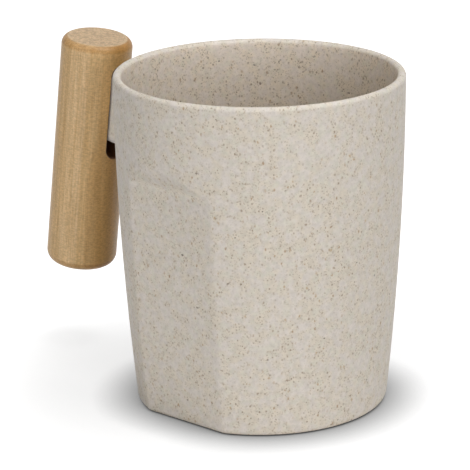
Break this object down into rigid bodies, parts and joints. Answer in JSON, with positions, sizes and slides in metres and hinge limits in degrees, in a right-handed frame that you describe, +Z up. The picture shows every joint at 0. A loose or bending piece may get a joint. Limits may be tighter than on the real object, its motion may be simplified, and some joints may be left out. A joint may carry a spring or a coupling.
{
  "type": "coffee mug",
  "caption": "Round coffee mug in a speckled stone-coloured composite, with a rounded lip, flats low on its sides and a straight, leaning wooden bar handle on a moulded tongue.",
  "frame": {"origin": "centre of the cup's underside, on the cup's axis, at the level of the table", "axes": "+Z up along the cup's axis, -X towards the handle, -Y and +Y towards the flats"},
  "size_m": [0.13, 0.086, 0.1018],
  "materials": {
    "composite": "matte moulded plant-fibre composite with fine tan and brown flecks",
    "handle_wood": "pale close-grained wood, turned and thinly oiled",
    "plug_wood": "pale close-grained wood, end grain outwards, thinly oiled",
    "screw_steel": "plain stainless steel"
  },
  "bodies": {
    "root": {"cup_body": "composite", "handle": "handle_wood", "upper_screw": "screw_steel", "lower_screw": "screw_steel", "upper_plug": "plug_wood", "lower_plug": "plug_wood"}
  },
  "joints": []
}
